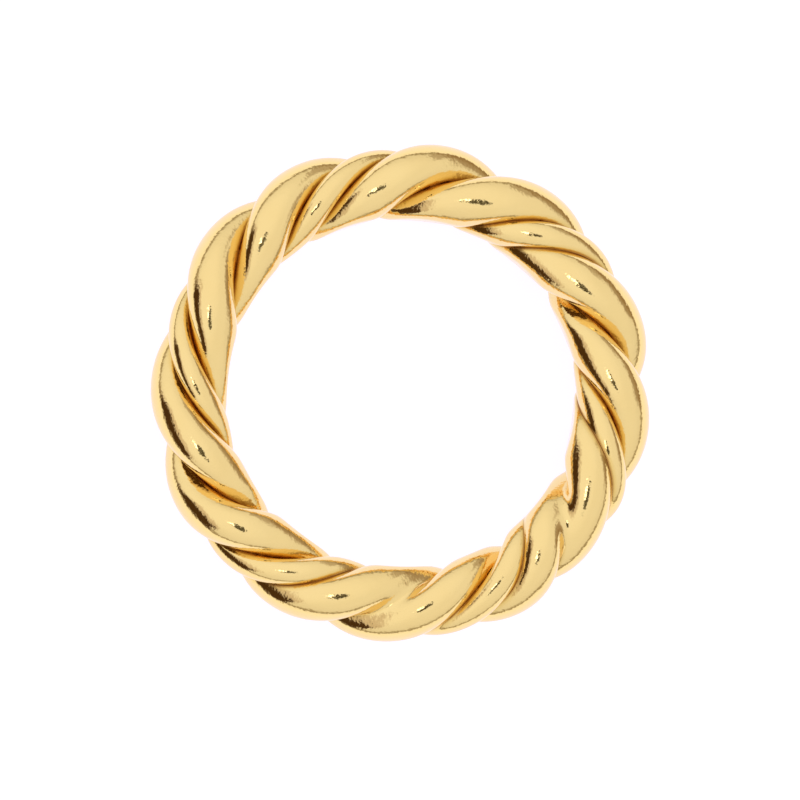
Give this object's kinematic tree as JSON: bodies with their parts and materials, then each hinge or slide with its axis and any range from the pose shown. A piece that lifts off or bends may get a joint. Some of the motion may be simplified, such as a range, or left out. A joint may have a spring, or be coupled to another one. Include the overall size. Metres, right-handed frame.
{
  "type": "rope twist ring",
  "caption": "Finger ring made as a closed rope of wide and slim round gold wires twisted together, smooth on the finger side.",
  "frame": {"origin": "on the surface that the ring lies on, under the middle of the finger hole", "axes": "+Z along the finger hole's axis, up from the surface towards the viewer of the picture; +Y towards the top of the picture and +X to its right"},
  "size_m": [0.0245, 0.0244, 0.0043],
  "materials": {
    "gold_wire": "polished gold plate"
  },
  "bodies": {
    "root": {"strand_wide_a": "gold_wire", "strand_slim": "gold_wire", "strand_wide_b": "gold_wire"}
  },
  "joints": []
}
